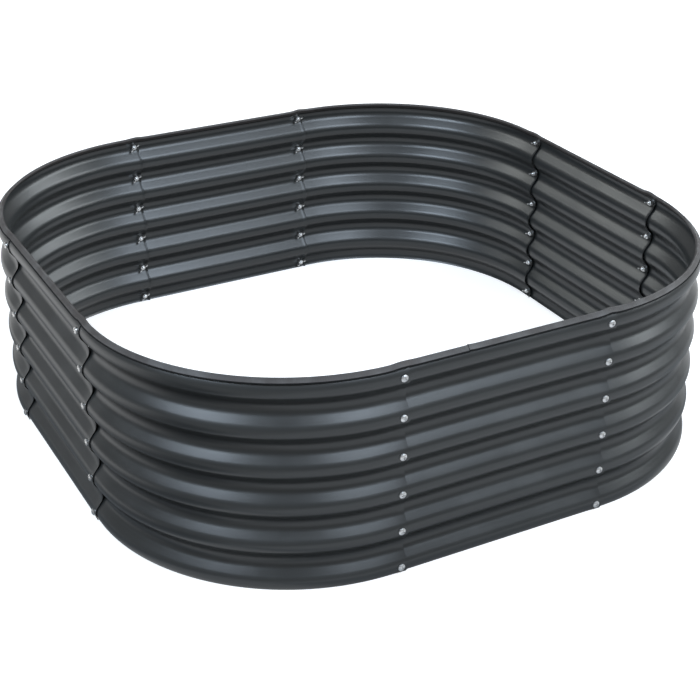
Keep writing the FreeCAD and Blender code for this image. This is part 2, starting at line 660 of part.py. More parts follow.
def main():
    """Build every piece of the bed, check them all and write one STEP file for each."""
    write_sizes()
    whole = [side_panel(side + "_panel", quarter) for quarter, side in enumerate(SIDES)]
    whole += [corner_panel(corner + "_corner_panel", quarter) for quarter, corner in enumerate(CORNERS)]
    whole.append(edge_trim("edge_trim"))
    rows = []
    for quarter, seams in enumerate(SEAM_NAMES):
        for leading, seam in enumerate(seams):
            rows += [seam_bolts(seam + "_seam_bolts"),
                     seam_nuts(seam + "_seam_nuts", 2 * quarter + leading)]
            place_seam(rows[-2], rows[-1], quarter, bool(leading))
    check_and_write(whole + rows, [1] * len(whole) + [SIZE["row_count"]] * len(rows))


main()
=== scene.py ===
"""Looks of the raised garden bed: corrugated coated panels, rubber edge trim and zinc fasteners.

Lengths in the classes are millimetres, as in the part's source; meshes are written in metres.
"""

import logging
import math
from dataclasses import dataclass
from enum import Enum
from typing import Dict, List, Optional, Tuple, Union

import bpy
import numpy as np
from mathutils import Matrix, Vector

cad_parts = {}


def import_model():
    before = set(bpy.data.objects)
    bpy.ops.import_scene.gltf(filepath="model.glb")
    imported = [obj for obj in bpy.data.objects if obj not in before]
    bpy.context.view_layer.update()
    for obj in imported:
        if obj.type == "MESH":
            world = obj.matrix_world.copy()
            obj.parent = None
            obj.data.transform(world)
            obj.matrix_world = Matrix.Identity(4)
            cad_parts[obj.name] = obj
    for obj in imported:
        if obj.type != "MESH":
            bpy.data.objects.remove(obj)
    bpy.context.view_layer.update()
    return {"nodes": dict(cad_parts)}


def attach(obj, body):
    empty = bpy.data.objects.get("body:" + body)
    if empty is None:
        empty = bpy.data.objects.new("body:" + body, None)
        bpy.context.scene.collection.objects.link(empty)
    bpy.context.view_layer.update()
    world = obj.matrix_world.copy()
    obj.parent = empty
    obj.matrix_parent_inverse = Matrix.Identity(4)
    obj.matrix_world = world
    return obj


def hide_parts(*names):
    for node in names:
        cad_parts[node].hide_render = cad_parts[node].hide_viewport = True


LOG = logging.getLogger("raised_bed")
MM = 0.001
BODY = "root"
Array = np.ndarray
Rgb = Tuple[float, float, float]
Socket = bpy.types.NodeSocket
Number = Union[float, Socket]
Colour = Union[Tuple[float, ...], Socket]


# ---------------------------------------------------------------------------
# Sizes
# ---------------------------------------------------------------------------
@dataclass(frozen=True)
class Wave:
    """Section of the corrugated sheet: arcs at the crests and valleys, joined by straight flanks."""

    pitch: float = 54.0
    depth: float = 14.0
    flank_angle: float = 42.0
    thickness: float = 0.8
    first_crest: float = 9.2
    rows: int = 6
    edge_rise: float = 15.0
    lap_clearance: float = 0.05

    @property
    def slope(self) -> float:
        """Slope of the flanks from the vertical, in radians."""
        return math.radians(self.flank_angle)

    @property
    def bend(self) -> float:
        """Bend radius at the middle of the sheet."""
        half = self.pitch / 2
        return ((half * math.sin(self.slope) - self.depth * math.cos(self.slope))
                / (2 * (1 - math.cos(self.slope))))

    @property
    def height(self) -> float:
        """Height of the sheet."""
        return self.first_crest + (self.rows - 1) * self.pitch + self.edge_rise

    @property
    def lap_step(self) -> float:
        """Distance from one nested sheet to the next, through the wall."""
        return self.thickness / math.cos(self.slope) + self.lap_clearance

    def heights(self, per_bend: int = 12) -> Array:
        """Heights at which the section is drawn: evenly spaced angles on each bend, ends included.

        Args:
            per_bend: spaces between the samples of one bend.

        Returns:
            Sorted heights in millimetres.
        """
        angles = np.linspace(-self.slope, self.slope, per_bend + 1)
        centres = self.first_crest + self.pitch / 2 * np.arange(-1, 2 * self.rows + 1)
        levels = (centres[:, None] + self.bend * np.sin(angles)[None, :]).ravel()
        levels = levels[(levels > 0.15) & (levels < self.height - 0.15)]
        return np.concatenate(([0.0], np.sort(levels), [self.height]))

    def face_depth(self, levels: Array, side: float) -> Array:
        """Depth of one face of the sheet behind the plane of the outer crests.

        Near a crest or valley the depth follows a circle about the bend's centre; past the bend's
        end it goes on along the flank's slope.

        Args:
            levels: heights in millimetres.
            side: +1 for the outer face, -1 for the inner face, 0 for the middle of the sheet.

        Returns:
            Depths in millimetres.
        """
        number = np.round((levels - self.first_crest) / (self.pitch / 2))
        rise = np.abs(levels - self.first_crest - number * self.pitch / 2)
        crest = (number % 2) == 0
        radius = self.bend + np.where(crest, side, -side) * self.thickness / 2
        end = radius * math.sin(self.slope)
        fall = radius - np.sqrt(np.maximum(radius ** 2 - np.minimum(rise, end) ** 2, 0))
        fall = fall + np.maximum(rise - end, 0) * math.tan(self.slope)
        middle = self.thickness / 2
        top = np.where(crest, middle + self.bend - radius, middle + self.depth - self.bend + radius)
        return np.where(crest, top + fall, top - fall)


WAVE = Wave()


@dataclass(frozen=True)
class BedPlan:
    """Plan of the ring of panels, centred on the Z axis, with its front facing -Y."""

    width: float = 900.0
    corner_radius: float = 290.0
    seam: float = 150.0
    lap_margin: float = 8.5

    @property
    def half(self) -> float:
        """From the middle to the outermost crests."""
        return self.width / 2

    @property
    def side_face(self) -> float:
        """From the middle to the outer crests of a straight panel."""
        return self.half - WAVE.lap_step

    @property
    def start_centre(self) -> float:
        """Middle of the bed to a corner's bend, along the side where the panel starts."""
        return self.half - self.corner_radius

    @property
    def lead_centre(self) -> float:
        """Middle of the bed to a corner's bend, along the side where the panel leads."""
        return self.half - 2 * WAVE.lap_step - self.corner_radius


PLAN = BedPlan()


class Quarter(Enum):
    """Quarter turns from the front of the bed, counter-clockwise from above."""

    FRONT = 0
    RIGHT = 1
    BACK = 2
    LEFT = 3

    def spin(self, points: Array) -> Array:
        """Turn points about the Z axis by this many quarter turns, (x, y) to (-y, x) each time.

        Args:
            points: points or directions whose last axis starts with x and y.

        Returns:
            The turned copy.
        """
        turned = points.copy()
        for _ in range(self.value):
            turned[..., 0], turned[..., 1] = -turned[..., 1].copy(), turned[..., 0].copy()
        return turned


# ---------------------------------------------------------------------------
# Paths seen from above
# ---------------------------------------------------------------------------
@dataclass
class Path:
    """A line seen from above: points, outward directions and distances along it."""

    points: Array
    outward: Array
    along: Array


def straight(start: Tuple[float, float], end: Tuple[float, float], outward: Tuple[float, float],
             count: int) -> Path:
    """Evenly spaced points on a straight line: start + share * (end - start).

    Args:
        start: first point.
        end: last point.
        outward: direction out of the wall.
        count: number of spaces.

    Returns:
        The path.
    """
    share = np.linspace(0, 1, count + 1)[:, None]
    points = np.array(start) + (np.array(end) - np.array(start)) * share
    return Path(points, np.tile(np.array(outward, float), (count + 1, 1)),
                share[:, 0] * math.dist(start, end))


def arc(centre: Tuple[float, float], radius: float, first: float, last: float, count: int) -> Path:
    """Evenly spaced points on an arc: centre + radius * (cos, sin) of the angle.

    Args:
        centre: middle of the arc.
        radius: its radius.
        first: first angle in radians.
        last: last angle in radians.
        count: number of spaces.

    Returns:
        The path, whose outward directions point away from the middle.
    """
    angles = np.linspace(first, last, count + 1)
    outward = np.stack([np.cos(angles), np.sin(angles)], axis=1)
    return Path(np.array(centre) + radius * outward, outward, (angles - first) * radius)


def join(parts: List[Path]) -> Path:
    """Join paths end to end.

    Args:
        parts: paths, each of which starts where the one before ends.

    Returns:
        One path, with each shared point once.
    """
    points, outward, along = [parts[0].points], [parts[0].outward], [parts[0].along]
    for part in parts[1:]:
        points.append(part.points[1:])
        outward.append(part.outward[1:])
        along.append(part.along[1:] + along[-1][-1])
    return Path(np.concatenate(points), np.concatenate(outward), np.concatenate(along))


def smooth_step(value: Array) -> Array:
    """Ease from 0 to 1 with the cubic 3x^2 - 2x^3."""
    value = np.clip(value, 0, 1)
    return value * value * (3 - 2 * value)


# ---------------------------------------------------------------------------
# Meshes from arrays
# ---------------------------------------------------------------------------
def make_mesh(name: str, points: Array, quads: Array, uv: Optional[Array] = None,
              values: Optional[Dict[str, Array]] = None, sharp: float = 35.0) -> bpy.types.Object:
    """Put whole arrays into a mesh object at the origin, with its faces pointing outwards.

    The sign of the volume, summed over the faces as half of p0 . (p1 x p2) for their two triangles,
    tells whether the faces point outwards.

    Args:
        name: name of the piece.
        points: (n, 3) places in millimetres.
        quads: (m, 4) corner numbers.
        uv: (n, 2) texture place of each point, in metres along and across the piece.
        values: more numbers for each point, by attribute name.
        sharp: angle in degrees above which an edge stays sharp.

    Returns:
        The new object, linked to the scene.
    """
    places = points * MM
    corners = places[quads]
    volume = (np.einsum("ij,ij->i", corners[:, 0], np.cross(corners[:, 1], corners[:, 2]))
              + np.einsum("ij,ij->i", corners[:, 0], np.cross(corners[:, 2], corners[:, 3]))).sum()
    if volume < 0:
        quads = quads[:, ::-1]
    mesh = bpy.data.meshes.new(name)
    mesh.vertices.add(len(places))
    mesh.vertices.foreach_set("co", places.astype(np.float32).ravel())
    mesh.loops.add(quads.size)
    mesh.loops.foreach_set("vertex_index", quads.astype(np.int32).ravel())
    mesh.polygons.add(len(quads))
    mesh.polygons.foreach_set("loop_start", np.arange(0, quads.size, 4, dtype=np.int32))
    mesh.polygons.foreach_set("use_smooth", np.ones(len(quads), dtype=bool))
    mesh.update(calc_edges=True)
    mesh.validate()
    if uv is not None:
        layer = mesh.uv_layers.new(name="surface")
        layer.data.foreach_set("uv", uv[quads.ravel()].astype(np.float32).ravel())
    for label, numbers in (values or {}).items():
        attribute = mesh.attributes.new(label, "FLOAT", "POINT")
        attribute.data.foreach_set("value", numbers.astype(np.float32))
    mesh.set_sharp_from_angle(angle=math.radians(sharp))
    piece = bpy.data.objects.new(name, mesh)
    bpy.context.scene.collection.objects.link(piece)
    return piece


def tube_quads(rings: int, columns: int, offset: int = 0) -> Array:
    """Faces of a closed section carried along a path: point number is ring * columns + column.

    Args:
        rings: number of sections along the path.
        columns: number of points round the section.
        offset: number of the first point.

    Returns:
        (m, 4) corner numbers.
    """
    ring, column = np.meshgrid(np.arange(rings - 1), np.arange(columns), indexing="ij")
    after = (column + 1) % columns
    quads = np.stack([ring * columns + column, ring * columns + after,
                      (ring + 1) * columns + after, (ring + 1) * columns + column], axis=-1)
    return quads.reshape(-1, 4) + offset


# ---------------------------------------------------------------------------
# Shader nodes
# ---------------------------------------------------------------------------
class Nodes:
    """Short calls for the nodes of one material or node group."""

    def __init__(self, tree: bpy.types.NodeTree) -> None:
        """Keep the tree that the nodes go into."""
        self.tree = tree

    def add(self, kind: str, settings: Optional[dict] = None,
            **inputs: Union[Number, Colour]) -> bpy.types.Node:
        """Add a node.

        Args:
            kind: node type without its "ShaderNode" prefix.
            settings: node properties.
            **inputs: values or sockets by input name, with _ for a space.

        Returns:
            The new node.
        """
        node = self.tree.nodes.new("ShaderNode" + kind)
        for key, value in (settings or {}).items():
            setattr(node, key, value)
        for key, value in inputs.items():
            self.feed(node, key.replace("_", " "), value)
        return node

    def feed(self, node: bpy.types.Node, key: Union[str, int], value: Union[Number, Colour]) -> None:
        """Set an input to a plain value, or link it to a socket.

        Args:
            node: the node that has the input.
            key: name or number of the input.
            value: plain value, or the socket to link.
        """
        socket = node.inputs[key]
        if isinstance(value, bpy.types.NodeSocket):
            self.tree.links.new(value, socket)
        else:
            socket.default_value = value

    def math(self, operation: str, first: Number, second: Number = 0.0, third: Number = 0.0,
             clamp: bool = False) -> Socket:
        """Combine numbers with a Math node.

        Args:
            operation: Blender's name of the operation.
            first: first number.
            second: second number.
            third: third number, for a multiply and add.
            clamp: whether the result stays between 0 and 1.

        Returns:
            The result's socket.
        """
        node = self.tree.nodes.new("ShaderNodeMath")
        node.operation = operation
        node.use_clamp = clamp
        for index, value in enumerate((first, second, third)):
            self.feed(node, index, value)
        return node.outputs[0]

    def span(self, value: Socket, low: float, high: float, to_low: float = 0.0,
             to_high: float = 1.0) -> Socket:
        """Map a range of a number smoothly to another range.

        Args:
            value: the number.
            low: start of its range.
            high: end of its range.
            to_low: result at the start and before it.
            to_high: result at the end and past it.

        Returns:
            The result's socket.
        """
        node = self.add("MapRange", {"interpolation_type": "SMOOTHSTEP"}, Value=value, From_Min=low,
                        From_Max=high, To_Min=to_low, To_Max=to_high)
        return node.outputs["Result"]

    def mix(self, share: Number, first: Colour, second: Colour) -> Socket:
        """Mix two colours.

        Args:
            share: 0 for the first colour, 1 for the second.
            first: first colour.
            second: second colour.

        Returns:
            The mixed colour's socket.
        """
        node = self.tree.nodes.new("ShaderNodeMix")
        node.data_type = "RGBA"
        for key, value in ((0, share), (6, first), (7, second)):
            self.feed(node, key, value)
        return node.outputs[2]


def new_group(name: str, inputs: List[Tuple[str, str, object]],
              outputs: List[Tuple[str, str]]) -> Tuple[bpy.types.NodeTree, Nodes, dict, bpy.types.Node]:
    """Start a shader node group with named inputs and outputs.

    Args:
        name: name of the group.
        inputs: (name, socket type, first value) of each input.
        outputs: (name, socket type) of each output.

    Returns:
        The group, its node helper, its input sockets by name, and its output node.
    """
    tree = bpy.data.node_groups.new(name, "ShaderNodeTree")
    for label, kind, value in inputs:
        socket = tree.interface.new_socket(label, in_out="INPUT", socket_type="NodeSocket" + kind)
        socket.default_value = value
    for label, kind in outputs:
        tree.interface.new_socket(label, in_out="OUTPUT", socket_type="NodeSocket" + kind)
    enter, leave = tree.nodes.new("NodeGroupInput"), tree.nodes.new("NodeGroupOutput")
    return tree, Nodes(tree), {socket.name: socket for socket in enter.outputs}, leave


class Effects:
    """Node groups that more than one finish uses."""

    def __init__(self) -> None:
        """Build the groups once."""
        self.grain = self.build_grain()
        self.dust = self.build_dust()
        self.patches = self.build_patches()

    @staticmethod
    def build_grain() -> bpy.types.NodeTree:
        """Fine texture of a surface: a height from two sizes of noise.

        Returns:
            The node group.
        """
        tree, nodes, given, leave = new_group(
            "fine grain", [("Scale", "Float", 900.0), ("Coarse", "Float", 0.4)],
            [("Height", "Float"), ("Value", "Float")])
        place = nodes.add("TexCoord").outputs["Object"]
        fine = nodes.add("TexNoise", Vector=place, Scale=given["Scale"], Detail=3.0, Roughness=0.55)
        wide = nodes.add("TexNoise", Vector=place, Scale=nodes.math("MULTIPLY", given["Scale"], 0.11),
                         Detail=2.0)
        height = nodes.math("MULTIPLY_ADD", wide.outputs[0], given["Coarse"], fine.outputs[0])
        nodes.feed(leave, "Height", height)
        nodes.feed(leave, "Value", fine.outputs[0])
        return tree

    @staticmethod
    def build_dust() -> bpy.types.NodeTree:
        """Thin dust on what faces up: a mask from the normal's rise and a broken noise.

        Returns:
            The node group.
        """
        tree, nodes, given, leave = new_group(
            "settled dust", [("Amount", "Float", 0.1), ("Scale", "Float", 14.0)], [("Mask", "Float")])
        facing = nodes.add("SeparateXYZ", Vector=nodes.add("NewGeometry").outputs["Normal"])
        upward = nodes.span(facing.outputs["Z"], 0.1, 0.95)
        place = nodes.add("TexCoord").outputs["Object"]
        cloud = nodes.add("TexNoise", Vector=place, Scale=given["Scale"], Detail=6.0, Roughness=0.62)
        broken = nodes.span(cloud.outputs[0], 0.38, 0.72)
        nodes.feed(leave, "Mask", nodes.math("MULTIPLY", nodes.math("MULTIPLY", upward, broken),
                                             given["Amount"]))
        return tree

    @staticmethod
    def build_patches() -> bpy.types.NodeTree:
        """Slow change over a surface, from -1 to 1, for colour and gloss.

        Returns:
            The node group.
        """
        tree, nodes, given, leave = new_group(
            "slow patches", [("Scale", "Float", 6.0), ("Stretch", "Vector", (1.0, 1.0, 1.0))],
            [("Value", "Float")])
        place = nodes.add("TexCoord").outputs["Object"]
        spread = nodes.add("VectorMath", {"operation": "MULTIPLY"})
        nodes.feed(spread, 0, place)
        nodes.feed(spread, 1, given["Stretch"])
        cloud = nodes.add("TexNoise", Vector=spread.outputs[0], Scale=given["Scale"], Detail=4.0,
                          Roughness=0.5)
        nodes.feed(leave, "Value", nodes.span(cloud.outputs[0], 0.25, 0.75, -1.0, 1.0))
        return tree


@dataclass(frozen=True)
class CoatedSheet:
    """Satin anthracite coating on sheet steel, with faint rolling marks and bare cut edges."""

    name: str = "anthracite coated sheet"
    dark: Rgb = (0.019, 0.0205, 0.0205)
    light: Rgb = (0.027, 0.0290, 0.0290)
    bare: Rgb = (0.11, 0.11, 0.11)
    dust: Rgb = (0.17, 0.17, 0.165)
    roughness: float = 0.32

    def build(self, effects: Effects) -> bpy.types.Material:
        """Make the material.

        Args:
            effects: the shared node groups.

        Returns:
            The material, which reads the UV map and the "rim" attribute of a panel.
        """
        material, nodes, shader = new_material(self.name)
        patches = nodes.add("Group", {"node_tree": effects.patches}, Scale=5.0)
        uv = nodes.add("UVMap", {"uv_map": "surface"}).outputs[0]
        drawn = nodes.add("VectorMath", {"operation": "MULTIPLY"})
        nodes.feed(drawn, 0, uv)
        nodes.feed(drawn, 1, (1.2, 160.0, 1.0))
        rolled = nodes.add("TexNoise", Vector=drawn.outputs[0], Scale=1.0, Detail=1.5, Roughness=0.5)
        streaks = nodes.span(rolled.outputs[0], 0.3, 0.7, -1.0, 1.0)
        shade = nodes.math("MULTIPLY_ADD", patches.outputs[0], 0.3, 0.5)
        shade = nodes.math("MULTIPLY_ADD", streaks, 0.2, shade, clamp=True)
        colour = nodes.mix(shade, (*self.dark, 1.0), (*self.light, 1.0))
        dust = nodes.add("Group", {"node_tree": effects.dust}, Amount=0.10, Scale=11.0)
        colour = nodes.mix(dust.outputs[0], colour, (*self.dust, 1.0))
        rim = nodes.add("Attribute", {"attribute_name": "rim"}).outputs["Fac"]
        worn = nodes.add("Group", {"node_tree": effects.grain}, Scale=420.0, Coarse=0.6)
        edge = nodes.math("MULTIPLY", nodes.span(rim, 0.0, 0.9, 1.0, 0.0),
                          nodes.span(worn.outputs["Height"], 0.92, 1.12))
        nodes.feed(shader, "Base Color", nodes.mix(edge, colour, (*self.bare, 1.0)))
        gloss = nodes.math("MULTIPLY_ADD", streaks, 0.014, self.roughness)
        gloss = nodes.math("MULTIPLY_ADD", patches.outputs[0], 0.02, gloss)
        nodes.feed(shader, "Roughness", nodes.math("MULTIPLY_ADD", dust.outputs[0], 0.8, gloss))
        peel = nodes.add("Group", {"node_tree": effects.grain}, Scale=800.0, Coarse=1.2)
        bump = nodes.add("Bump", Strength=0.22, Distance=0.00012, Height=peel.outputs["Height"])
        nodes.feed(shader, "Normal", bump.outputs[0])
        shader.inputs["Specular IOR Level"].default_value = 0.7
        return material


@dataclass(frozen=True)
class EdgeRubber:
    """Dull grey rubber profile with fine ribs across it, and a near-black painted shadow along its lip.
    """

    name: str = "edge trim rubber"
    dark: Rgb = (0.043, 0.038, 0.036)
    light: Rgb = (0.068, 0.060, 0.057)
    # near-black painted shadow along the trim's lip, not a colour of the rubber
    lip: Rgb = (0.004, 0.004, 0.004)
    dust: Rgb = (0.24, 0.24, 0.235)
    roughness: float = 0.52
    rib_pitch: float = 0.0031

    def build(self, effects: Effects) -> bpy.types.Material:
        """Make the material.

        Args:
            effects: the shared node groups.

        Returns:
            The material, whose ribs follow the trim's UV map, and whose painted shadow along the lip
            follows its "lip" attribute, the height above the lip's end.
        """
        material, nodes, shader = new_material(self.name)
        patches = nodes.add("Group", {"node_tree": effects.patches}, Scale=9.0)
        uv = nodes.add("SeparateXYZ", Vector=nodes.add("UVMap", {"uv_map": "surface"}).outputs[0])
        turn = nodes.math("MULTIPLY", uv.outputs["X"], 2 * math.pi / self.rib_pitch)
        rib = nodes.math("MULTIPLY_ADD", nodes.math("SINE", turn), 0.5, 0.5)
        grain = nodes.add("Group", {"node_tree": effects.grain}, Scale=1300.0, Coarse=0.8)
        shade = nodes.math("MULTIPLY_ADD", patches.outputs[0], 0.3, 0.5)
        shade = nodes.math("MULTIPLY_ADD", grain.outputs["Value"], 0.3, shade, clamp=True)
        colour = nodes.mix(shade, (*self.dark, 1.0), (*self.light, 1.0))
        dust = nodes.add("Group", {"node_tree": effects.dust}, Amount=0.3, Scale=25.0)
        colour = nodes.mix(dust.outputs[0], colour, (*self.dust, 1.0))
        # Painted shadow: up to 1.5 mm above the lip's end the rubber turns near-black and rougher, fading
        # out by 2.1 mm, where the gap under the lip is in shade.
        above = nodes.add("Attribute", {"attribute_name": "lip"}).outputs["Fac"]
        painted_shadow = nodes.span(above, 1.5, 2.1, 1.0, 0.0)
        nodes.feed(shader, "Base Color", nodes.mix(painted_shadow, colour, (*self.lip, 1.0)))
        rough = nodes.math("MULTIPLY_ADD", patches.outputs[0], 0.05, self.roughness)
        nodes.feed(shader, "Roughness", nodes.math("MULTIPLY_ADD", painted_shadow, 0.4, rough))
        height = nodes.math("MULTIPLY_ADD", grain.outputs["Height"], 0.35, rib)
        bump = nodes.add("Bump", Strength=0.4, Distance=0.0002, Height=height)
        nodes.feed(shader, "Normal", bump.outputs[0])
        shader.inputs["Specular IOR Level"].default_value = 0.3
        return material


@dataclass(frozen=True)
class ZincPlate:
    """Bright zinc plate with faint cloudy passivation."""

    name: str = "zinc plated steel"
    bright: Rgb = (0.88, 0.88, 0.87)
    cloudy: Rgb = (0.68, 0.68, 0.68)
    roughness: float = 0.36

    def build(self, effects: Effects) -> bpy.types.Material:
        """Make the material.

        Args:
            effects: the shared node groups.

        Returns:
            The material.
        """
        material, nodes, shader = new_material(self.name)
        patches = nodes.add("Group", {"node_tree": effects.patches}, Scale=260.0)
        grain = nodes.add("Group", {"node_tree": effects.grain}, Scale=2600.0, Coarse=0.5)
        shade = nodes.math("MULTIPLY_ADD", patches.outputs[0], 0.5, 0.5, clamp=True)
        nodes.feed(shader, "Base Color", nodes.mix(shade, (*self.bright, 1.0), (*self.cloudy, 1.0)))
        nodes.feed(shader, "Roughness", nodes.math("MULTIPLY_ADD", patches.outputs[0], 0.06,
                                                   self.roughness))
        bump = nodes.add("Bump", Strength=0.2, Distance=0.00005, Height=grain.outputs["Height"])
        nodes.feed(shader, "Normal", bump.outputs[0])
        shader.inputs["Metallic"].default_value = 1.0
        return material


def new_material(name: str) -> Tuple[bpy.types.Material, Nodes, bpy.types.Node]:
    """Start a material with one Principled shader.

    Args:
        name: name of the material.

    Returns:
        The material, its node helper and the shader node.
    """
    material = bpy.data.materials.new(name)
    material.use_nodes = True
    return material, Nodes(material.node_tree), material.node_tree.nodes["Principled BSDF"]


# ---------------------------------------------------------------------------
# Panels
# ---------------------------------------------------------------------------
@dataclass
class Panel:
    """One corrugated sheet, bent along a path of its outer crests.

    The bolts hold a lap only at the crests.  Between them the leading end springs off the sheet
    that it laps, most at the valleys, and the starting end stands in from the sheet around it.
    """

    node: str
    quarter: Quarter
    lead_lift: Tuple[float, float] = (0.4, 2.8)
    lead_length: float = 32.0
    start_lift: Tuple[float, float] = (2.4, 1.8)
    start_length: float = 6.0
    trimmed_above: float = 272.0

    def path(self) -> Path:
        """Line of the outer crests for a panel at the front, in the bed's own frame."""
        raise NotImplementedError

    def build(self, material: bpy.types.Material) -> bpy.types.Object:
        """Carry the wave section along the path.

        A point is path(s) - depth(z) * outward(s), raised to z, for both faces of the sheet.  Each
        free end adds a lift that grows with the square of the distance past its start, from one
        amount at the crests to another at the valleys, and fades out under the edge trim.

        Args:
            material: the panel's finish.

        Returns:
            The dressed piece.
        """
        path = self.path()
        levels = WAVE.heights()
        outer, inner = WAVE.face_depth(levels, 1.0), WAVE.face_depth(levels, -1.0)
        section_z = np.concatenate([levels, levels[::-1]])
        section_depth = np.concatenate([outer, inner[::-1]])
        length = path.along[-1]
        valley = np.sin(math.pi * (section_z - WAVE.first_crest) / WAVE.pitch) ** 2
        free = 1 - smooth_step((section_z - self.trimmed_above) / 12.0)
        lead = np.clip(1 - (length - path.along) / self.lead_length, 0, 1) ** 2
        start = np.clip(1 - path.along / self.start_length, 0, 1) ** 2
        lift = lead[:, None] * np.interp(valley, (0, 1), self.lead_lift) * free
        lift = lift - start[:, None] * np.interp(valley, (0, 1), self.start_lift) * free
        reach = lift - section_depth[None, :]
        plan = path.points[:, None, :] + path.outward[:, None, :] * reach[:, :, None]
        points = np.concatenate([plan, np.broadcast_to(section_z[None, :, None],
                                                       plan.shape[:2] + (1,))], axis=-1)
        rings, columns = points.shape[:2]
        count = len(levels)
        column = np.arange(count - 1)
        cap = np.stack([column, column + 1, columns - 2 - column, columns - 1 - column], axis=1)
        quads = np.concatenate([tube_quads(rings, columns), cap[:, ::-1],
                                cap + (rings - 1) * columns])
        run = np.concatenate([[0.0], np.cumsum(np.hypot(np.diff(levels), np.diff(outer)))])
        across = np.concatenate([run, run[::-1]])
        uv = np.stack(np.broadcast_arrays(path.along[:, None] * MM, across[None, :] * MM), axis=-1)
        rim = np.minimum(np.minimum(path.along, length - path.along)[:, None],
                         np.minimum(section_z, WAVE.height - section_z)[None, :])
        piece = make_mesh(self.node + "_sheet", self.quarter.spin(points).reshape(-1, 3), quads,
                          uv.reshape(-1, 2), {"rim": rim.ravel()})
        piece.data.materials.append(material)
        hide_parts(self.node)
        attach(piece, BODY)
        return piece


def end_spacing(length: float, edge: float = 14.0, close: int = 9, wide: float = 12.0) -> Array:
    """Distances along a sheet: close together near the two ends, wider between them.

    Args:
        length: length of the sheet.
        edge: length of the close part at each end.
        close: number of distances in it.
        wide: spacing between the close parts.

    Returns:
        Rising distances in millimetres.
    """
    near = edge * np.linspace(0, 1, close)
    middle = np.linspace(edge, length - edge, max(2, int((length - 2 * edge) / wide)) + 1)
    return np.concatenate([near, middle[1:-1], length - near[::-1]])


@dataclass
class SidePanel(Panel):
    """A straight panel."""

    def path(self) -> Path:
        """Straight line along the front, from its start to its leading end.

        Returns:
            The path.
        """
        reach = PLAN.seam + PLAN.lap_margin
        along = end_spacing(2 * reach)
        points = np.stack([along - reach, np.full_like(along, -PLAN.side_face)], axis=1)
        return Path(points, np.tile([0.0, -1.0], (len(along), 1)), along)


@dataclass
class CornerPanel(Panel):
    """A quarter-round panel with a short straight tail at each end, before the front panel."""

    bend_steps: int = 72

    def path(self) -> Path:
        """Down the left side, round the bend and along the front.

        Returns:
            The path.
        """
        radius = PLAN.corner_radius
        centre = (-PLAN.lead_centre, -PLAN.start_centre)
        start = PLAN.start_centre - PLAN.seam + PLAN.lap_margin
        lead = PLAN.lead_centre - PLAN.seam + PLAN.lap_margin
        bend = arc(centre, radius, math.pi, 1.5 * math.pi, self.bend_steps)
        return join([straight((centre[0] - radius, centre[1] + start), (centre[0] - radius, centre[1]),
                              (-1, 0), 12), bend,
                     straight((centre[0], centre[1] - radius), (centre[0] + lead, centre[1] - radius),
                              (0, -1), 12)])


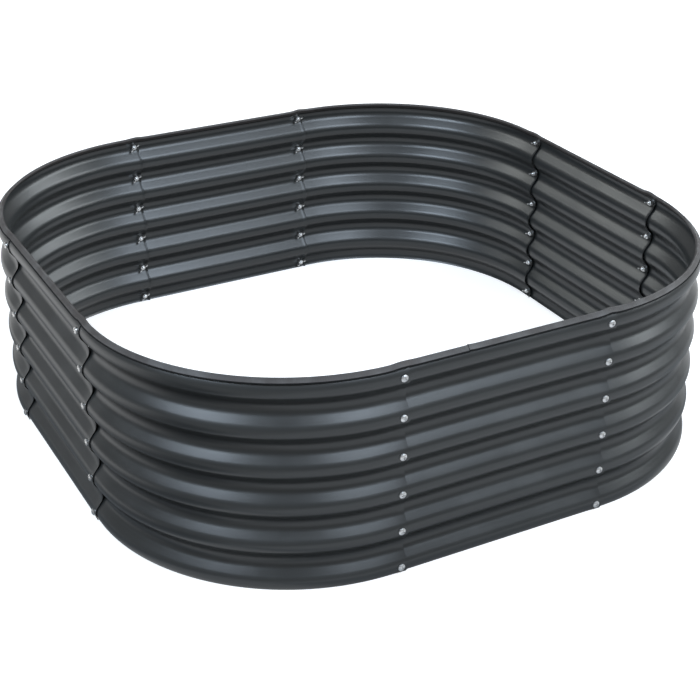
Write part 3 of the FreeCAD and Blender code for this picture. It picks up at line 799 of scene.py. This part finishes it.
# ---------------------------------------------------------------------------
# Edge trim
# ---------------------------------------------------------------------------
@dataclass
class EdgeTrim:
    """Rubber U profile over the top edge, whose two ends meet on the front."""

    node: str = "edge_trim"
    joint: float = -58.0
    gap: float = 0.4
    lift: float = 0.9
    wall: float = 1.1
    slot: float = 2.1
    crown: float = 1.2
    lip: float = 8.0
    corner: float = 1.2
    toe: float = 0.35
    flare: float = 0.8
    spacing: float = 2.2
    hump: float = 1.4
    hump_length: float = 11.0

    def section(self) -> Array:
        """Closed outline: (up the flank from the sheet's edge, out from its middle), in millimetres.

        Each corner of the U is a quarter circle, the two toes bulge a little, and the walls flare
        with the square of the distance towards the toes.

        Returns:
            (n, 2) points.
        """
        outside, inside = self.slot / 2 + self.wall, self.slot / 2
        seat = WAVE.thickness / 2 * math.tan(WAVE.slope)
        top, foot = seat + self.crown, seat - self.lip
        quarter = np.linspace(0, math.pi / 2, 7)
        round_out = np.stack([top - self.corner + self.corner * np.sin(quarter),
                              outside - self.corner + self.corner * np.cos(quarter)], axis=1)
        toe = np.linspace(-math.pi / 2, math.pi / 2, 7)
        middle = (inside + outside) / 2
        toe_out = np.stack([foot - (self.wall / 2) * np.cos(toe) + self.wall / 2,
                            middle + (self.wall / 2 + self.toe * np.cos(toe)) * np.sin(toe)], axis=1)
        wall_out = np.stack([np.linspace(foot + 1.0, top - self.corner - 0.3, 5),
                             np.full(5, outside)], axis=1)
        half = np.concatenate([[[seat, inside], [foot + 4.0, inside], [foot + 1.0, inside]], toe_out,
                               wall_out, round_out])
        outline = np.concatenate([half, half[::-1] * [1, -1]])
        spread = np.clip((foot + 5.0 - outline[:, 0]) / 5.0, 0, 1) ** 2
        outline[:, 1] += np.where(outline[:, 1] > 0, self.flare, -0.3 * self.flare) * spread
        return outline

    def ring(self) -> Path:
        """Once round the bed from the joint, offset at each lap with the sheets that it covers.

        Each side is a line plus a smooth step of one sheet at either lap, and each bend is an arc
        whose radius grows evenly from one sheet less to one sheet more.

        Returns:
            The path.
        """
        centre = PLAN.side_face - PLAN.corner_radius
        parts = []
        for quarter in Quarter:
            side = straight((-centre, -PLAN.side_face), (centre, -PLAN.side_face), (0, -1), 160)
            bend = arc((centre, -centre), PLAN.corner_radius, -math.pi / 2, 0, 220)
            shift = (1 - smooth_step((side.points[:, 0] + PLAN.seam - 2) / 9)
                     - smooth_step((side.points[:, 0] - PLAN.seam + 7) / 9)) * WAVE.lap_step
            side.points = side.points + side.outward * shift[:, None]
            turn = np.linspace(-1, 1, len(bend.along)) * WAVE.lap_step
            bend.points = bend.points + bend.outward * turn[:, None]
            for part in (side, bend):
                parts.append(Path(quarter.spin(part.points), quarter.spin(part.outward), part.along))
        loop = join(parts)
        begin = self.joint + centre
        length = loop.along[-1]
        want = np.arange(begin + self.gap / 2, begin + length - self.gap / 2, self.spacing)
        want = np.append(want, begin + length - self.gap / 2)
        where = want % length
        points = np.stack([np.interp(where, loop.along, loop.points[:, axis]) for axis in (0, 1)], axis=1)
        outward = np.stack([np.interp(where, loop.along, loop.outward[:, axis]) for axis in (0, 1)],
                           axis=1)
        outward /= np.linalg.norm(outward, axis=1, keepdims=True)
        return Path(points, outward, want - want[0])

    def build(self, material: bpy.types.Material) -> bpy.types.Object:
        """Carry the outline round the bed, standing on the sheet's sloping top edge.

        The free end at the joint is lifted with the square of the distance from its end, and at
        each lap the trim rides up by a bell curve of the distance along the side.

        Args:
            material: the trim's finish.

        Returns:
            The dressed piece.
        """
        path = self.ring()
        outline = self.section()
        edge_depth = WAVE.face_depth(np.array([WAVE.height]), 0.0)[0]
        sine, cosine = math.sin(WAVE.slope), math.cos(WAVE.slope)
        inward = edge_depth + outline[:, 0] * sine - outline[:, 1] * cosine
        up = WAVE.height + outline[:, 0] * cosine + outline[:, 1] * sine
        plan = path.points[:, None, :] - path.outward[:, None, :] * inward[None, :, None]
        raised = self.lift * np.clip(1 - path.along / 14.0, 0, 1) ** 2
        aside = np.abs(path.points).min(axis=1) - PLAN.seam
        raised = raised + self.hump * np.exp(-(aside / self.hump_length) ** 2)
        height = up[None, :] + raised[:, None]
        points = np.concatenate([plan, height[:, :, None]], axis=-1)
        rings, columns = points.shape[:2]
        half = columns // 2
        column = np.arange(half - 1)
        cap = np.stack([column, column + 1, columns - 2 - column, columns - 1 - column], axis=1)
        quads = np.concatenate([tube_quads(rings, columns), cap[:, ::-1], cap + (rings - 1) * columns])
        across = np.concatenate([[0.0], np.cumsum(np.hypot(*np.diff(outline, axis=0).T))])
        uv = np.stack(np.broadcast_arrays(path.along[:, None] * MM, across[None, :] * MM), axis=-1)
        # Height above the lip's end, from which the rubber paints a shadow along the lip.
        lip = np.broadcast_to(outline[:, 0] - outline[:, 0].min(), (rings, columns))
        piece = make_mesh("edge_trim_rubber", points.reshape(-1, 3), quads, uv.reshape(-1, 2),
                          {"lip": lip.ravel()})
        piece.data.materials.append(material)
        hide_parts(self.node)
        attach(piece, BODY)
        return piece


# ---------------------------------------------------------------------------
# Studio
# ---------------------------------------------------------------------------
@dataclass(frozen=True)
class SoftLamp:
    """A soft box seen from the bed: degrees round from the front and up, size in metres, glow."""

    name: str
    around: float
    up: float
    size: Tuple[float, float]
    glow: float
    colour: Rgb

    @property
    def power(self) -> float:
        """Power in watts that gives the box its glow: pi times the area times the glow."""
        return math.pi * self.size[0] * self.size[1] * self.glow


@dataclass
class Studio:
    """White floor and surroundings, soft lamps and the camera."""

    target: Tuple[float, float, float] = (-0.0264, -0.0799, 0.115)
    azimuth: float = -27.854
    elevation: float = 27.648
    roll: float = -0.136
    distance: float = 2.1449
    focal_pixels: float = 1478.0
    picture_pixels: float = 700.0
    sensor: float = 36.0
    sky: float = 0.27
    fill: float = 0.56
    reach: float = 3.0
    aim: Tuple[float, float, float] = (0.0, 0.0, 0.1)
    lamps: Tuple[SoftLamp, ...] = (
        SoftLamp("front soft box", 15.0, 52.0, (1.6, 1.2), 8.2, (0.74, 0.86, 1.0)),
        SoftLamp("left soft box", -78.0, 48.0, (1.4, 1.0), 11.6, (0.72, 0.85, 1.0)),
        SoftLamp("right soft box", 82.0, 35.0, (3.0, 1.1), 5.2, (0.89, 0.96, 1.0)),
        SoftLamp("back soft box", -146.0, 38.0, (1.4, 0.8), 3.8, (0.96, 1.0, 0.98)),
    )

    def camera(self) -> None:
        """Place the camera on the fitted line of sight."""
        data = bpy.data.cameras.new("camera")
        data.sensor_width = self.sensor
        data.lens = self.sensor * self.focal_pixels / self.picture_pixels
        data.clip_end = 50.0
        eye = bpy.data.objects.new("camera", data)
        bpy.context.scene.collection.objects.link(eye)
        around, up = math.radians(self.azimuth), math.radians(self.elevation)
        back = Vector((math.sin(around) * math.cos(up), -math.cos(around) * math.cos(up), math.sin(up)))
        eye.location = Vector(self.target) + back * self.distance
        eye.rotation_euler = back.to_track_quat("Z", "Y").to_euler()
        eye.rotation_euler.rotate_axis("Z", math.radians(self.roll))
        bpy.context.scene.camera = eye

    def hang(self, box: SoftLamp) -> None:
        """Hang a rectangular soft box that points at the bed.

        Args:
            box: the soft box.
        """
        data = bpy.data.lights.new(box.name, "AREA")
        data.shape = "RECTANGLE"
        data.size, data.size_y = box.size
        data.energy = box.power
        data.color = box.colour
        around, up = math.radians(box.around), math.radians(box.up)
        aside = Vector((math.sin(around) * math.cos(up), -math.cos(around) * math.cos(up),
                        math.sin(up)))
        lamp = bpy.data.objects.new(box.name, data)
        lamp.location = Vector(self.aim) + aside * self.reach
        lamp.rotation_euler = aside.to_track_quat("Z", "Y").to_euler()
        bpy.context.scene.collection.objects.link(lamp)

    def floor(self) -> None:
        """Lay a pale floor that keeps the shadow and reads white to the camera.

        For reflections it is darker, with painted shade at the left, and it glows round the bed's back,
        before its front and inside the ring, as a lit sweep does: painted light that only reflections
        see.
        """
        edge = 12000.0
        points = np.array([[-edge, -edge, 0], [edge, -edge, 0], [edge, edge, 0], [-edge, edge, 0]])
        mesh = bpy.data.meshes.new("floor")
        mesh.from_pydata((points * MM).tolist(), [], [(0, 1, 2, 3)])
        floor = bpy.data.objects.new("floor", mesh)
        bpy.context.scene.collection.objects.link(floor)
        material, nodes, shader = new_material("studio floor")
        rays = nodes.add("LightPath")
        shown, mirrored = rays.outputs["Is Camera Ray"], rays.outputs["Is Glossy Ray"]
        shader.inputs["Roughness"].default_value = 1.0
        shader.inputs["Specular IOR Level"].default_value = 0.0
        place = nodes.add("SeparateXYZ", Vector=nodes.add("TexCoord").outputs["Object"])
        # Painted shade: for all rays but the camera's, the floor's colour darkens from 0.37 to 0.12
        # towards the left, the bed's shadow side.
        shade = nodes.math("MAXIMUM", nodes.span(place.outputs["X"], -0.6, -0.42, 0.12, 0.37),
                           nodes.math("MULTIPLY", shown, 0.8))
        nodes.feed(shader, "Base Color", nodes.mix(shade, (0, 0, 0, 1), (1, 1, 1, 1)))
        aside = nodes.math("MAXIMUM", nodes.math("ABSOLUTE", place.outputs["X"]),
                           nodes.math("ABSOLUTE", place.outputs["Y"]))
        # Painted light: glossy rays see the floor glow behind and beside the bed, in a strip before its
        # front and inside the ring.
        glow = nodes.math("MULTIPLY", nodes.span(place.outputs["Y"], -0.45, 0.15),
                          nodes.span(aside, 0.47, 0.8))
        glow = nodes.math("ADD", glow, nodes.span(place.outputs["Y"], -0.52, -0.44, 0.36, 0.0))
        glow = nodes.math("ADD", glow, nodes.span(aside, 0.42, 0.46, 0.42, 0.0))
        fill = nodes.math("MULTIPLY", shown, nodes.span(aside, 0.8, 3.0, self.fill, 1.0))
        light = nodes.math("MULTIPLY_ADD", mirrored, glow, fill)
        nodes.feed(shader, "Emission Strength", light)
        shader.inputs["Emission Color"].default_value = (1, 1, 1, 1)
        mesh.materials.append(material)

    def world(self) -> None:
        """Surround the bed with white for the camera, and for its surfaces with a plain sky."""
        world = bpy.data.worlds.new("studio")
        bpy.context.scene.world = world
        world.use_nodes = True
        nodes = Nodes(world.node_tree)
        background = world.node_tree.nodes["Background"]
        rays = nodes.add("LightPath")
        seen = nodes.math("MAXIMUM", rays.outputs["Is Camera Ray"], rays.outputs["Is Transmission Ray"])
        nodes.feed(background, "Strength", nodes.math("MULTIPLY_ADD", seen, 1.0 - self.sky, self.sky))
        background.inputs["Color"].default_value = (1, 1, 1, 1)

    def build(self) -> None:
        """Set up the whole studio."""
        bpy.context.scene.view_settings.view_transform = "Standard"
        self.camera()
        self.floor()
        self.world()
        for box in self.lamps:
            self.hang(box)
        LOG.info("studio ready with %d soft boxes", len(self.lamps))


# ---------------------------------------------------------------------------
# The whole bed
# ---------------------------------------------------------------------------
def dress_fasteners(material: bpy.types.Material, nodes: Dict[str, bpy.types.Object]) -> None:
    """Give the screws and wing nuts of every seam their zinc plate.

    Args:
        material: the zinc plate.
        nodes: the loaded pieces by name.
    """
    for name, piece in nodes.items():
        if name.endswith("_seam_bolts") or name.endswith("_seam_nuts"):
            piece.data.materials.clear()
            piece.data.materials.append(material)
            LOG.info("dressed %s", name)


def main() -> None:
    """Load the frame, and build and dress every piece."""
    logging.basicConfig(level=logging.INFO)
    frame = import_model()
    effects = Effects()
    sheet, rubber, zinc = (finish.build(effects) for finish in (CoatedSheet(), EdgeRubber(), ZincPlate()))
    panels: List[Panel] = [SidePanel(name + "_panel", quarter) for name, quarter in
                           zip(("front", "right", "back", "left"), Quarter)]
    panels += [CornerPanel(name + "_corner_panel", quarter) for name, quarter in
               zip(("front_left", "front_right", "back_right", "back_left"), Quarter)]
    for panel in panels:
        piece = panel.build(sheet)
        LOG.info("built %s with %d faces", piece.name, len(piece.data.polygons))
    trim = EdgeTrim().build(rubber)
    LOG.info("built %s with %d faces", trim.name, len(trim.data.polygons))
    dress_fasteners(zinc, frame["nodes"])
    Studio().build()


if __name__ == "__main__":
    main()
